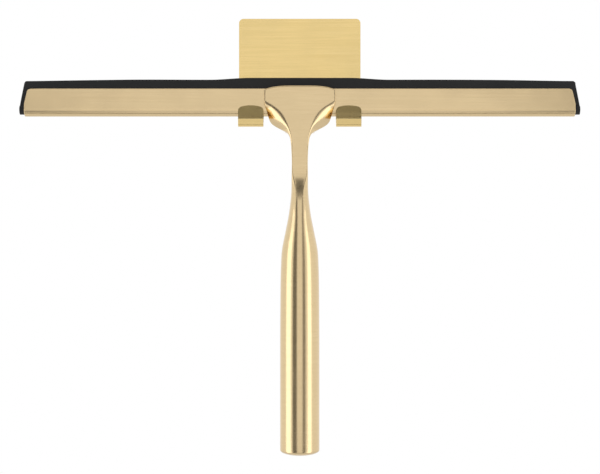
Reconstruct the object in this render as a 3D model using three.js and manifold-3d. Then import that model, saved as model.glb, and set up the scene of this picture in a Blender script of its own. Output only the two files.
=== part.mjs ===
// A bathroom window squeegee on its wall bracket. Millimetres, +Z up, +Y into the wall, +X to the right.
// The origin is the middle of the adhesive pad's back, where the bracket sticks to the wall.
import * as THREE from "three";
import { mergeVertices } from "three/addons/utils/BufferGeometryUtils.js";
import Module from "manifold-3d";

const wasm = await Module();
wasm.setup();

// Driving dimensions.
const DEGREE = Math.PI / 180;
const RUNNING_GAP = 0.12; // between pieces that are pressed or slid together

const PAD = { width: 50, height: 38, thickness: 1, corner: 3 };
const PLATE = { width: 54.7, top: 22.5, bottom: -20.5, thickness: 1.5, corner: 2 };
const HOOK = { width: 11.2, bendY: -11.485, bendZ: -24.9, innerRadius: 0.4, rearRadius: 2 };
const HOOK_ARM_RISE = 35 * DEGREE; // the arm climbs back to the plate at this angle
const HOOK_TOE_LEAN = 17 * DEGREE; // the short face above the bend leans out to the crease
const HOOK_LIP_LEAN = 14 * DEGREE; // the lip leans back over the blade holder
const HOOK_LIP = { crease: -23.4, top: -17.7, crown: 1.1, corner: 1.3 };

const BLADE = { y: -7.8, z: -19 }; // axis of the round bead that runs along the foot of the blade
const HOLDER = { halfLength: 122.8, beadRadius: 3, sheet: 0.7, top: 9.45, topHalfThickness: 1.75 };
const HOLDER_END = { slantFrom: 2.6, slant: 1.4, corner: 1.3 };
const RUBBER = { halfLength: 125, beadRadius: 2.15, webThickness: 1.9, top: 13.45, corner: 0.9 };
const RUBBER_END = { inset: 2.2, from: 1.4 }; // the ends slant in above the bead
const RUBBER_CREST = { rise: 0.8, flatTo: 22, fallsBy: 40 }; // the lip stands higher over the clamped middle
const RUBBER_DROOP = { drop: 0.6, from: 70 }; // and sinks a little at its free ends

const HEAD = { halfWidth: 15.8, top: 10.35, arch: 1.75, frontY: -6.4, crownRadius: 60, crownFrom: 4 };
const FLANK = { slopes: [0.44, 0.7, 1], steepensOver: 4, wall: 0.55, shoulderZ: -11.2 };
const NECK = { rearY: 1.8 };
const GRIP = { radius: 8.75, y: -3.4, bottom: -153.8, dome: 2.4 };
const CLAMP = { backY: 4.9, top: 8.9, bottom: -10.2, edge: 0.6 };
const SCREW = { x: 8, z: -6, radius: 1.2, headRadius: 2.35, headDepth: 1.5, tipY: -2.3, hexRadius: 0.9 };

// Materials.
const brushedBrass = new THREE.MeshStandardMaterial({ color: 0xd6bd8d, roughness: 0.34, metalness: 1 });
const sheetBrass = new THREE.MeshStandardMaterial({ color: 0xdcc48a, roughness: 0.38, metalness: 1 });
const blackRubber = new THREE.MeshStandardMaterial({ color: 0x29292b, roughness: 0.62, metalness: 0 });
const foamTape = new THREE.MeshStandardMaterial({ color: 0x8b8d8f, roughness: 0.9, metalness: 0 });
const screwSteel = new THREE.MeshStandardMaterial({ color: 0xb9a67c, roughness: 0.3, metalness: 1 });

// Solids: only joins and cuts.
function toSolid(geometry) {
  const bare = geometry.clone();
  bare.deleteAttribute("normal");
  bare.deleteAttribute("uv");
  const merged = mergeVertices(bare, 1e-4);
  return new wasm.Manifold(
    new wasm.Mesh({
      numProp: 3,
      vertProperties: merged.attributes.position.array,
      triVerts: new Uint32Array(merged.index.array),
    }),
  );
}

function toGeometry(solid) {
  const mesh = solid.getMesh();
  const geometry = new THREE.BufferGeometry();
  geometry.setAttribute("position", new THREE.BufferAttribute(mesh.vertProperties, 3));
  geometry.setIndex(new THREE.BufferAttribute(mesh.triVerts, 1));
  return geometry;
}

// Extrusions.
const ALONG_X = new THREE.Matrix4().makeBasis(
  new THREE.Vector3(0, 1, 0),
  new THREE.Vector3(0, 0, 1),
  new THREE.Vector3(1, 0, 0),
);
const TOWARDS_FRONT = new THREE.Matrix4().makeBasis(
  new THREE.Vector3(1, 0, 0),
  new THREE.Vector3(0, 0, 1),
  new THREE.Vector3(0, -1, 0),
);

// A shape drawn as (y, z), run along X from fromX to toX.
function alongX(shape, fromX, toX, curveSegments = 8) {
  const depth = toX - fromX;
  const geometry = new THREE.ExtrudeGeometry(shape, { depth, bevelEnabled: false, curveSegments });
  return geometry.translate(0, 0, fromX).applyMatrix4(ALONG_X);
}

// A shape drawn as (x, z), run from backY forward to frontY.
function throughY(shape, backY, frontY, curveSegments = 8) {
  const depth = backY - frontY;
  const geometry = new THREE.ExtrudeGeometry(shape, { depth, bevelEnabled: false, curveSegments });
  return geometry.applyMatrix4(TOWARDS_FRONT).translate(0, backY, 0);
}

// A turned solid whose axis runs along Y; the profile is drawn as (radius, y).
function turnedAboutY(profile, segments) {
  const points = profile.map(([radius, y]) => new THREE.Vector2(radius, y));
  return new THREE.LatheGeometry(points, segments);
}

function roundedRectangle(left, bottom, right, top, radius) {
  const shape = new THREE.Shape();
  shape.absarc(right - radius, bottom + radius, radius, -Math.PI / 2, 0, false);
  shape.absarc(right - radius, top - radius, radius, 0, Math.PI / 2, false);
  shape.absarc(left + radius, top - radius, radius, Math.PI / 2, Math.PI, false);
  shape.absarc(left + radius, bottom + radius, radius, Math.PI, 1.5 * Math.PI, false);
  return shape;
}

function smoothStep(from, to, value) {
  const t = THREE.MathUtils.clamp((value - from) / (to - from), 0, 1);
  return t * t * (3 - 2 * t);
}

// A smooth curve through stations [place, value], listed from the highest place to the lowest.
function throughStations(stations, place) {
  const last = stations.length - 1;
  if (place >= stations[0][0]) return stations[0][1];
  if (place <= stations[last][0]) return stations[last][1];
  const i = stations.findIndex(([at], k) => at >= place && stations[k + 1][0] < place);
  const slope = (k) => {
    const before = stations[Math.max(k - 1, 0)];
    const after = stations[Math.min(k + 1, last)];
    return (after[1] - before[1]) / (after[0] - before[0]);
  };
  const [z0, v0] = stations[i];
  const [z1, v1] = stations[i + 1];
  const span = z1 - z0;
  const t = (place - z0) / span;
  const t2 = t * t;
  const t3 = t2 * t;
  return (
    (2 * t3 - 3 * t2 + 1) * v0 +
    (t3 - 2 * t2 + t) * span * slope(i) +
    (3 * t2 - 2 * t3) * v1 +
    (t3 - t2) * span * slope(i + 1)
  );
}

// Wall bracket: one stamped sheet, with two tabs bent forward into hooks.
function hookSection() {
  const { bendY, bendZ, innerRadius, rearRadius } = HOOK;
  const outerRadius = innerRadius + PLATE.thickness;
  const back = -PAD.thickness;
  const front = back - PLATE.thickness;
  const armAngle = HOOK_ARM_RISE - Math.PI / 2; // where the round bend meets the arm
  const toeAngle = -Math.PI + HOOK_TOE_LEAN; // and where it meets the toe
  // The crease between toe and lip, then the lip's top, on the face that is radius from the bend's centre.
  const toeAndLip = (radius) => {
    const shift = (outerRadius - radius) * Math.tan((HOOK_LIP_LEAN - HOOK_TOE_LEAN) / 2);
    const creaseZ = HOOK_LIP.crease - shift;
    const toeY = bendY + radius * Math.cos(toeAngle);
    const toeZ = bendZ + radius * Math.sin(toeAngle);
    const creaseY = toeY - (creaseZ - toeZ) * Math.tan(HOOK_TOE_LEAN);
    const rise = HOOK_LIP.top + 1 - creaseZ;
    return [
      [creaseY, creaseZ],
      [creaseY + rise * Math.tan(HOOK_LIP_LEAN), creaseZ + rise],
    ];
  };
  // The rear bend turns the arm up into the plate. Its centre is on the holder's side of the sheet.
  const rearY = front - rearRadius;
  const armNormal = [Math.cos(armAngle), Math.sin(armAngle)];
  const reach = outerRadius - (rearRadius + PLATE.thickness);
  const along = (rearY - bendY - reach * armNormal[0]) / Math.cos(HOOK_ARM_RISE);
  const rearZ = bendZ + reach * armNormal[1] + along * Math.sin(HOOK_ARM_RISE);
  const [outerCrease, outerTop] = toeAndLip(outerRadius);
  const [innerCrease, innerTop] = toeAndLip(innerRadius);
  const shape = new THREE.Shape();
  shape.moveTo(...innerTop);
  shape.lineTo(...outerTop);
  shape.lineTo(...outerCrease);
  shape.absarc(bendY, bendZ, outerRadius, toeAngle, armAngle, false);
  shape.absarc(rearY, rearZ, rearRadius + PLATE.thickness, armAngle, 0, false);
  shape.lineTo(back, rearZ + 1);
  shape.lineTo(front, rearZ + 1);
  shape.absarc(rearY, rearZ, rearRadius, 0, armAngle, true);
  shape.absarc(bendY, bendZ, innerRadius, armAngle, toeAngle, true);
  shape.lineTo(...innerCrease);
  return shape;
}

// The hook seen from the front: its lip has a crowned top with rounded corners.
function hookOutline(middleX) {
  const half = HOOK.width / 2;
  const { top, crown, corner } = HOOK_LIP;
  const shape = new THREE.Shape();
  shape.moveTo(middleX - half, PLATE.bottom - 12);
  shape.lineTo(middleX + half, PLATE.bottom - 12);
  shape.lineTo(middleX + half, top - crown - corner);
  shape.quadraticCurveTo(middleX + half, top - crown, middleX + half - corner, top - 0.75 * crown);
  shape.quadraticCurveTo(middleX, top + 0.75 * crown, middleX - half + corner, top - 0.75 * crown);
  shape.quadraticCurveTo(middleX - half, top - crown, middleX - half, top - crown - corner);
  return shape;
}

function wallBracketGeometry() {
  const half = PLATE.width / 2;
  const innerEdge = half - HOOK.width;
  const legBottom = PLATE.bottom + 2.5;
  const plate = new THREE.Shape();
  plate.moveTo(-innerEdge, PLATE.bottom);
  plate.lineTo(innerEdge, PLATE.bottom);
  plate.lineTo(innerEdge, legBottom);
  plate.lineTo(half, legBottom);
  plate.absarc(half - PLATE.corner, PLATE.top - PLATE.corner, PLATE.corner, 0, Math.PI / 2, false);
  plate.absarc(-half + PLATE.corner, PLATE.top - PLATE.corner, PLATE.corner, Math.PI / 2, Math.PI, false);
  plate.lineTo(-half, legBottom);
  plate.lineTo(-innerEdge, legBottom);
  let bracket = toSolid(throughY(plate, -PAD.thickness, -PAD.thickness - PLATE.thickness, 5));
  for (const side of [-1, 1]) {
    const middleX = side * (half - HOOK.width / 2);
    const bent = alongX(hookSection(), middleX - HOOK.width / 2, middleX + HOOK.width / 2, 9);
    const outline = throughY(hookOutline(middleX), 5, -40, 5);
    bracket = bracket.add(toSolid(bent).intersect(toSolid(outline)));
  }
  return toGeometry(bracket);
}

function adhesivePadGeometry() {
  const { width, height, thickness, corner } = PAD;
  return throughY(roundedRectangle(-width / 2, -height / 2, width / 2, height / 2, corner), 0, -thickness, 4);
}

// Blade holder: a strip folded round the rubber, drawn about the bead's axis.
// Angle, from the front, where each flat flange leaves the round bead, grown by extra all round.
function flangeTangent(extra = 0) {
  const radius = HOLDER.beadRadius + extra;
  const topHalf = HOLDER.topHalfThickness + extra;
  const reach = Math.hypot(topHalf, HOLDER.top);
  return { radius, topHalf, angle: Math.atan2(HOLDER.top, topHalf) - Math.acos(radius / reach) };
}

function holderHalfThickness(z) {
  const { radius, topHalf, angle } = flangeTangent();
  const tangentZ = radius * Math.sin(angle);
  if (z <= tangentZ) return Math.sqrt(Math.max(radius * radius - z * z, 0));
  const share = Math.min((z - tangentZ) / (HOLDER.top - tangentZ), 1);
  return THREE.MathUtils.lerp(radius * Math.cos(angle), topHalf, share);
}

function holderSection() {
  const outer = flangeTangent();
  const inner = flangeTangent(-HOLDER.sheet);
  const shape = new THREE.Shape();
  shape.moveTo(outer.topHalf, HOLDER.top);
  shape.lineTo(inner.topHalf, HOLDER.top);
  shape.absarc(0, 0, inner.radius, inner.angle, -Math.PI - inner.angle, true);
  shape.lineTo(-inner.topHalf, HOLDER.top);
  shape.lineTo(-outer.topHalf, HOLDER.top);
  shape.absarc(0, 0, outer.radius, -Math.PI - outer.angle, outer.angle, false);
  return shape;
}

// The room that the head and the clamp plate leave for the holder.
function holderRoom() {
  const { radius, topHalf, angle } = flangeTangent(RUNNING_GAP);
  const above = HOLDER.top + 5;
  const shape = new THREE.Shape();
  shape.moveTo(topHalf, above);
  shape.lineTo(-topHalf, above);
  shape.lineTo(-topHalf, HOLDER.top);
  shape.absarc(0, 0, radius, Math.PI - angle, 2 * Math.PI + angle, false);
  shape.lineTo(topHalf, HOLDER.top);
  return shape;
}

function bladeHolderGeometry() {
  const { halfLength, top, beadRadius } = HOLDER;
  const { slantFrom, slant, corner } = HOLDER_END;
  const outline = new THREE.Shape();
  outline.moveTo(-halfLength, -beadRadius - 1);
  outline.lineTo(halfLength, -beadRadius - 1);
  outline.lineTo(halfLength, slantFrom);
  outline.lineTo(halfLength - slant, top - corner);
  outline.quadraticCurveTo(halfLength - slant, top, halfLength - slant - corner, top);
  outline.lineTo(-halfLength + slant + corner, top);
  outline.quadraticCurveTo(-halfLength + slant, top, -halfLength + slant, top - corner);
  outline.lineTo(-halfLength, slantFrom);
  const strip = toSolid(alongX(holderSection(), -halfLength - 1, halfLength + 1, 18));
  const trimmed = strip.intersect(toSolid(throughY(outline, 10, -10, 4)));
  return toGeometry(trimmed);
}

// Rubber blade: a round bead, a web and a straight-cut lip.
function rubberTop(x) {
  const crest = 1 - smoothStep(RUBBER_CREST.flatTo, RUBBER_CREST.fallsBy, Math.abs(x));
  const droop = smoothStep(RUBBER_DROOP.from, RUBBER.halfLength, Math.abs(x));
  return RUBBER.top + RUBBER_CREST.rise * crest - RUBBER_DROOP.drop * droop;
}

function rubberBladeGeometry() {
  const { halfLength, beadRadius, webThickness, corner } = RUBBER;
  const half = webThickness / 2;
  const webAngle = Math.acos(half / beadRadius);
  const above = RUBBER.top + RUBBER_CREST.rise + 1;
  const section = new THREE.Shape();
  section.moveTo(half, above);
  section.lineTo(-half, above);
  section.absarc(0, 0, beadRadius, Math.PI - webAngle, 2 * Math.PI + webAngle, false);
  const topHalf = halfLength - RUBBER_END.inset;
  const outline = new THREE.Shape();
  outline.moveTo(-halfLength, -beadRadius - 1);
  outline.lineTo(halfLength, -beadRadius - 1);
  outline.lineTo(halfLength, RUBBER_END.from);
  outline.lineTo(topHalf, rubberTop(topHalf) - corner);
  const steps = 40;
  for (let i = 0; i <= steps; i++) {
    const x = (topHalf - corner) * (1 - (2 * i) / steps);
    outline.lineTo(x, rubberTop(x));
  }
  outline.lineTo(-topHalf, rubberTop(topHalf) - corner);
  outline.lineTo(-halfLength, RUBBER_END.from);
  const bar = toSolid(alongX(section, -halfLength - 1, halfLength + 1, 12));
  return toGeometry(bar.intersect(toSolid(throughY(outline, 10, -10, 4))));
}

// Handle: head, neck and grip in one casting, lofted from the head's top down.
const WING_OUTLINE = [
  [3.5, 15.8],
  [0, 14.9],
  [-3.6, 13.9],
  [-5.4, 13.2],
  [-6.6, 12.2],
  [-7.7, 10.6],
  [-9.1, 8.1],
  [-10.3, 6],
  [-11.4, 4.9],
  [-13, 4.35],
  [-16.5, 3.87],
  [-22.7, 3.6],
  [-29.5, 3.65],
  [-36, 3.8],
  [-44.9, 4.68],
  [-51.6, 5.9],
  [-60.6, 7.7],
  [-65, 8.22],
  [-78, 8.62],
  [-100, GRIP.radius],
];
const FACE_EDGE = [
  [3.5, 15.8],
  [1.7, 12.4],
  [-1.3, 9.1],
  [-4.6, 6.9],
  [-7.9, 5.35],
  [-12.4, 3.9],
  [-16.5, 3.3],
];
// The flanks fall away from the face over a soft ridge, then gently, then more steeply.
const RIDGE_SPAN = [
  [4, 0.4],
  [2, 1],
  [-4, 1.3],
  [-8, 0.9],
  [-11, 0.5],
  [-14, 0.3],
];
const GENTLE_SPAN = [
  [3.5, 1.5],
  [0, 3.2],
  [-2, 3],
  [-5, 2.2],
  [-7, 1.2],
  [-9, 0.5],
  [-11, 0.2],
];
// How far the front and the rear have swollen from neck to grip.
const FRONT_SWELL = [
  [-20, 0],
  [-27, 0.27],
  [-30, 0.73],
  [-33, 1.48],
  [-38, 2.87],
  [-41.5, 3.7],
  [-46, 4.35],
  [-56, 5.1],
  [-70, 5.59],
  [-84, GRIP.radius - GRIP.y + HEAD.frontY],
];
const REAR_SWELL = [
  [-24, 0],
  [-34, 0.35],
  [-45, 1.5],
  [-58, 3],
  [-70, GRIP.radius + GRIP.y - NECK.rearY],
];

// The head seen along X: its face curves back towards the top, and its inside follows the holder.
function faceY(z) {
  const above = Math.max(z - HEAD.crownFrom, 0);
  return HEAD.frontY + HEAD.crownRadius - Math.sqrt(HEAD.crownRadius ** 2 - above ** 2);
}

function headRearY(z) {
  if (z > -HOLDER.beadRadius - RUNNING_GAP) return -holderHalfThickness(z) - RUNNING_GAP;
  return z > FLANK.shoulderZ ? -RUNNING_GAP / 2 : NECK.rearY;
}

// Half of a section through the head: across the face, over its soft ridge, down the flank, to the back.
const FACE_SHARES = [0, 0.35, 0.7, 1];
const RIDGE_SHARES = [0.2, 0.4, 0.6, 0.8, 1];
const FLANK_SHARES = [0.35, 0.7, 1];

function flankFall(beyondEdge, z) {
  const [ridgeSlope, gentleSlope, steepSlope] = FLANK.slopes;
  const ridge = throughStations(RIDGE_SPAN, z);
  const gentle = throughStations(GENTLE_SPAN, z);
  const a = THREE.MathUtils.clamp(beyondEdge + ridge / 2, 0, ridge);
  const b = THREE.MathUtils.clamp(beyondEdge - ridge / 2, 0, gentle);
  const c = Math.max(beyondEdge - ridge / 2 - gentle, 0);
  const onRidge = (ridgeSlope * a * a) / (2 * ridge);
  const onGentle = ridgeSlope * b + ((gentleSlope - ridgeSlope) * b * b) / (2 * gentle);
  const onSteep = gentleSlope * c + ((steepSlope - gentleSlope) * c * c) / (2 * FLANK.steepensOver);
  return onRidge + onGentle + onSteep;
}

function headHalfSection(z) {
  const width = throughStations(WING_OUTLINE, z);
  const edge = Math.min(throughStations(FACE_EDGE, z), width);
  const ridge = throughStations(RIDGE_SPAN, z);
  const front = faceY(z);
  const rear = headRearY(z);
  const room = rear - FLANK.wall - front;
  const share = Math.min(1, room / flankFall(width - edge, z));
  const faceEnd = edge - ridge / 2;
  const ridgeEnd = Math.min(edge + ridge / 2, width);
  const across = FACE_SHARES.map((part) => part * faceEnd);
  for (const part of RIDGE_SHARES) across.push(THREE.MathUtils.lerp(faceEnd, ridgeEnd, part));
  for (const part of FLANK_SHARES) across.push(THREE.MathUtils.lerp(ridgeEnd, width, part));
  const points = across.map((x) => [x, front + share * flankFall(x - edge, z)]);
  points.push([width, (points.at(-1)[1] + rear) / 2]);
  points.push([width, rear]);
  points.push([width / 2, rear]);
  points.push([0, rear]);
  return points;
}

// Half of a section through the neck or grip: a rounded bar below the head that becomes a circle.
function gripHalfSection(z, count) {
  const front = HEAD.frontY - throughStations(FRONT_SWELL, z);
  const rear = NECK.rearY + throughStations(REAR_SWELL, z);
  const power = THREE.MathUtils.lerp(0.25, 1, smoothStep(-24, -50, z));
  const halfWidth = throughStations(WING_OUTLINE, z);
  const middle = (front + rear) / 2;
  const halfDepth = (rear - front) / 2;
  const domeStart = GRIP.bottom + GRIP.dome;
  const shrink = z < domeStart ? Math.sqrt(Math.max(1 - ((domeStart - z) / GRIP.dome) ** 2, 0)) : 1;
  return Array.from({ length: count }, (_, i) => {
    const turn = (Math.PI * i) / (count - 1);
    const x = Math.abs(Math.sin(turn)) ** power * halfWidth * shrink;
    const y = Math.sign(Math.cos(turn)) * Math.abs(Math.cos(turn)) ** power * halfDepth * shrink;
    return [i % (count - 1) === 0 ? 0 : x, middle - y];
  });
}

function handleRing(z) {
  const head = headHalfSection(z);
  const grip = gripHalfSection(z, head.length);
  const share = smoothStep(-11.6, -17, z);
  const half = head.map(([x, y], i) => [
    THREE.MathUtils.lerp(x, grip[i][0], share),
    THREE.MathUtils.lerp(y, grip[i][1], share),
  ]);
  const mirrored = half
    .slice(1, -1)
    .reverse()
    .map(([x, y]) => [-x, y]);
  return [...half, ...mirrored].map(([x, y]) => new THREE.Vector3(x, y, z));
}

// A cylinder whose rings, from the top down, are moved to the given rings of points.
function loft(rings) {
  const around = rings[0].length;
  const cylinder = new THREE.CylinderGeometry(1, 1, 1, around, rings.length - 1);
  const position = cylinder.attributes.position;
  const at = new THREE.Vector3();
  for (let i = 0; i < position.count; i++) {
    at.fromBufferAttribute(position, i);
    const ring = rings[Math.round((0.5 - at.y) * (rings.length - 1))];
    const turn = Math.round((Math.atan2(at.x, at.z) / (2 * Math.PI)) * around);
    const onAxis = Math.hypot(at.x, at.z) < 1e-6;
    const middle = ring[0].clone().add(ring[around / 2]).multiplyScalar(0.5);
    const to = onAxis ? middle : ring[(turn + around) % around];
    position.setXYZ(i, to.x, to.y, to.z);
  }
  return cylinder;
}

function handleLevels() {
  const levels = [HEAD.top + 1, 9.2, 8, 6.6, 5.3, 4];
  const bead = HOLDER.beadRadius + RUNNING_GAP;
  for (const z of [3.5, 3, 2.3, 1.4, 0.4, -0.8, -1.8, -2.5, -2.9]) levels.push(z);
  levels.push(-bead + 0.02, -bead - 0.02);
  for (const z of [-4.2, -5.4, -6.2, -6.9, -7.6, -8.5, -9.4, -10.4]) levels.push(z);
  levels.push(FLANK.shoulderZ + 0.02, FLANK.shoulderZ - 0.02);
  for (const z of [-12, -13, -14.4, -16, -18.5, -22.5, -26, -28.5]) levels.push(z);
  for (const z of [-30.2, -31.6, -33.2, -35, -36.8, -38.4]) levels.push(z);
  for (let z = -40.5; z > -78; z -= 3.2) levels.push(z);
  levels.push(-84, -100);
  const domeStart = GRIP.bottom + GRIP.dome;
  levels.push(domeStart);
  for (const angle of [20, 40, 58, 74, 84]) levels.push(domeStart - GRIP.dome * Math.sin(angle * DEGREE));
  return levels;
}

// The head's outline from the front, down to the neck: straight sides and an arched top.
function headArch() {
  const { halfWidth, top, arch } = HEAD;
  const shape = new THREE.Shape();
  shape.moveTo(-halfWidth - 1, GRIP.bottom - 1);
  shape.lineTo(halfWidth + 1, GRIP.bottom - 1);
  shape.lineTo(halfWidth + 1, top - arch);
  shape.lineTo(halfWidth, top - arch);
  shape.bezierCurveTo(0.72 * halfWidth, top - 0.1 * arch, 0.45 * halfWidth, top, 0, top);
  shape.bezierCurveTo(-0.45 * halfWidth, top, -0.72 * halfWidth, top - 0.1 * arch, -halfWidth, top - arch);
  shape.lineTo(-halfWidth - 1, top - arch);
  return shape;
}

function handleGeometry() {
  const cast = toSolid(loft(handleLevels().map(handleRing)));
  const casting = cast.intersect(toSolid(throughY(headArch(), 15, -25, 8)));
  const drilled = [-1, 1].reduce((solid, side) => {
    const depth = SCREW.tipY - 0.3;
    const wide = SCREW.radius + 0.15;
    const hole = turnedAboutY([[0, depth], [wide, depth], [wide, 1], [0, 1]], 16);
    return solid.subtract(toSolid(hole.translate(side * SCREW.x, 0, SCREW.z)));
  }, casting);
  return toGeometry(drilled);
}

// Clamp plate: the rear jaw, drawn in behind the holder by two countersunk screws.
function clampOutline() {
  const half = HEAD.halfWidth;
  const shape = new THREE.Shape();
  shape.moveTo(-half, WING_OUTLINE[0][0]);
  const steps = [1, 0, -2, -3.6, -5.4, -6.2, -6.9, -7.6, -8.5, CLAMP.bottom];
  for (const z of steps) shape.lineTo(-throughStations(WING_OUTLINE, z), z);
  for (const z of steps.toReversed()) shape.lineTo(throughStations(WING_OUTLINE, z), z);
  shape.lineTo(half, WING_OUTLINE[0][0]);
  shape.lineTo(half, CLAMP.top - HEAD.arch);
  shape.quadraticCurveTo(0, CLAMP.top + HEAD.arch, -half, CLAMP.top - HEAD.arch);
  return shape;
}

function clampPlateGeometry() {
  const { backY, edge } = CLAMP;
  const face = new THREE.ExtrudeGeometry(clampOutline(), {
    depth: backY - edge - RUNNING_GAP / 2,
    bevelThickness: edge,
    bevelSize: edge,
    bevelOffset: -edge,
    bevelSegments: 2,
    curveSegments: 8,
  });
  // The bevel on the mating side is buried in the room cut next, or trimmed off flat.
  const jaw = toSolid(face.applyMatrix4(TOWARDS_FRONT).translate(0, backY - edge, 0));
  const front = new THREE.BoxGeometry(60, 10, 60).translate(0, RUNNING_GAP / 2 - 5, 0);
  let clamp = jaw.subtract(toSolid(front));
  clamp = clamp.subtract(toSolid(alongX(holderRoom(), -30, 30, 18)));
  for (const side of [-1, 1]) {
    const gap = 0.15;
    const headFrom = backY - gap - SCREW.headDepth;
    const seat = turnedAboutY(
      [
        [0, -1],
        [SCREW.radius + gap, -1],
        [SCREW.radius + gap, headFrom],
        [SCREW.headRadius + gap, backY - gap - 0.2],
        [SCREW.headRadius + gap, backY + 1],
        [0, backY + 1],
      ],
      20,
    );
    clamp = clamp.subtract(toSolid(seat.translate(side * SCREW.x, 0, SCREW.z)));
  }
  return toGeometry(clamp);
}

function clampScrewGeometry() {
  const backY = CLAMP.backY - 0.15;
  const headEnd = backY - SCREW.headDepth;
  const screw = turnedAboutY(
    [
      [0, SCREW.tipY],
      [SCREW.radius - 0.3, SCREW.tipY],
      [SCREW.radius, SCREW.tipY + 0.4],
      [SCREW.radius, headEnd],
      [SCREW.headRadius, backY - 0.2],
      [SCREW.headRadius, backY],
      [0, backY],
    ],
    20,
  );
  const socketFloor = backY - 1;
  const socket = turnedAboutY(
    [[0, socketFloor], [SCREW.hexRadius, socketFloor], [SCREW.hexRadius, backY + 1], [0, backY + 1]],
    6,
  );
  return toGeometry(toSolid(screw).subtract(toSolid(socket)));
}

// Assembly.
function piece(name, geometry, material, x = 0, y = 0, z = 0) {
  const mesh = new THREE.Mesh(geometry, material);
  mesh.name = name;
  mesh.position.set(x, y, z);
  return mesh;
}

const bracket = new THREE.Group();
bracket.add(
  piece("adhesive_pad", adhesivePadGeometry(), foamTape),
  piece("wall_bracket", wallBracketGeometry(), sheetBrass),
);

const squeegee = new THREE.Group();
squeegee.position.set(0, BLADE.y, BLADE.z);
squeegee.add(
  piece("handle", handleGeometry(), brushedBrass),
  piece("clamp_plate", clampPlateGeometry(), brushedBrass),
  piece("clamp_screw_left", clampScrewGeometry(), screwSteel, -SCREW.x, 0, SCREW.z),
  piece("clamp_screw_right", clampScrewGeometry(), screwSteel, SCREW.x, 0, SCREW.z),
  piece("blade_holder", bladeHolderGeometry(), sheetBrass),
  piece("rubber_blade", rubberBladeGeometry(), blackRubber),
);

const windowSqueegee = new THREE.Group();
windowSqueegee.add(bracket, squeegee);

export default windowSqueegee;
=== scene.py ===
import bpy
import bmesh
import math
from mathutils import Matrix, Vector


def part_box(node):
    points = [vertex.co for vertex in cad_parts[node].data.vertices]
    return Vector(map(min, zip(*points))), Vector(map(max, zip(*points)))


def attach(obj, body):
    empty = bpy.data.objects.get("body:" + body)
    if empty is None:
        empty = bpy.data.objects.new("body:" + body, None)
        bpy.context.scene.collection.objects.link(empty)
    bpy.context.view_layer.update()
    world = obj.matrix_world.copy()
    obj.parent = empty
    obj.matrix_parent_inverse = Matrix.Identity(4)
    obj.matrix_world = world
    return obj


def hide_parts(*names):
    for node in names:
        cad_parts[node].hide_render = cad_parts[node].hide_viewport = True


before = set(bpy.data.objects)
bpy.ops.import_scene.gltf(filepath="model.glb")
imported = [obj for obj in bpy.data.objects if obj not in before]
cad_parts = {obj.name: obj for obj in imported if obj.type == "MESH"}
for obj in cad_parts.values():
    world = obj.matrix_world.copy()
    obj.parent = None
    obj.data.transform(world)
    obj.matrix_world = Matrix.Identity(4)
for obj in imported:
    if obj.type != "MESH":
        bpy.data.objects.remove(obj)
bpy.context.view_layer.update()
mm = 0.001
degree = math.pi / 180
print("frame loaded:", ", ".join(sorted(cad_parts)))

# The blade's bead runs along X through (bladeY, bladeZ), and every squeegee piece is drawn about it.
holderLow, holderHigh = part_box("blade_holder")
beadRadius = (holderHigh.y - holderLow.y) / 2 / mm
bladeY = (holderHigh.y + holderLow.y) / 2 / mm
bladeZ = holderLow.z / mm + beadRadius


# Curves and meshes.
def smoothStep(start, end, value):
    t = min(max((value - start) / (end - start), 0), 1)
    return t * t * (3 - 2 * t)


def mix(a, b, share):
    return a + (b - a) * share


def curveThrough(stations, place):
    # A smooth curve through [place, value] pairs, listed from the highest place to the lowest.
    last = len(stations) - 1
    if place >= stations[0][0]:
        return stations[0][1]
    if place <= stations[last][0]:
        return stations[last][1]
    i = next(k for k in range(last) if stations[k + 1][0] < place)

    def slope(k):
        before, after = stations[max(k - 1, 0)], stations[min(k + 1, last)]
        return (after[1] - before[1]) / (after[0] - before[0])

    (z0, v0), (z1, v1) = stations[i], stations[i + 1]
    span = z1 - z0
    t = (place - z0) / span
    return ((2 * t**3 - 3 * t**2 + 1) * v0 + (t**3 - 2 * t**2 + t) * span * slope(i)
            + (3 * t**2 - 2 * t**3) * v1 + (t**3 - t**2) * span * slope(i + 1))


def steps(start, end, count):
    return [start + (end - start) * i / count for i in range(count + 1)]


def newObject(name, bm, smooth=True, sharpAngle=38):
    bmesh.ops.remove_doubles(bm, verts=bm.verts, dist=1e-7)
    bmesh.ops.recalc_face_normals(bm, faces=bm.faces)
    mesh = bpy.data.meshes.new(name)
    bm.to_mesh(mesh)
    bm.free()
    thing = bpy.data.objects.new(name, mesh)
    bpy.context.collection.objects.link(thing)
    if smooth:
        mesh.polygons.foreach_set("use_smooth", [True] * len(mesh.polygons))
        mesh.set_sharp_from_angle(angle=sharpAngle * degree)
    return thing


def ringSkin(rings, capStart=True, capEnd=True, closed=True):
    # Quads between rings of points (millimetres); a closed ring joins its last point to its first.
    bm = bmesh.new()
    rows = [[bm.verts.new(Vector(p) * mm) for p in ring] for ring in rings]
    count = len(rings[0])
    for a, b in zip(rows, rows[1:]):
        for i in range(count if closed else count - 1):
            j = (i + 1) % count
            quad = [a[i], a[j], b[j], b[i]]
            if len({tuple(v.co) for v in quad}) > 2:
                bm.faces.new(quad)
    if capStart:
        bm.faces.new(rows[0])
    if capEnd:
        bm.faces.new(rows[-1])
    return bm


def addBevel(thing, width, segments=2, angle=40):
    bevel = thing.modifiers.new("softEdges", "BEVEL")
    bevel.width = width * mm
    bevel.segments = segments
    bevel.limit_method = "ANGLE"
    bevel.angle_limit = angle * degree
    bevel.harden_normals = True
    return bevel


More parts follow.
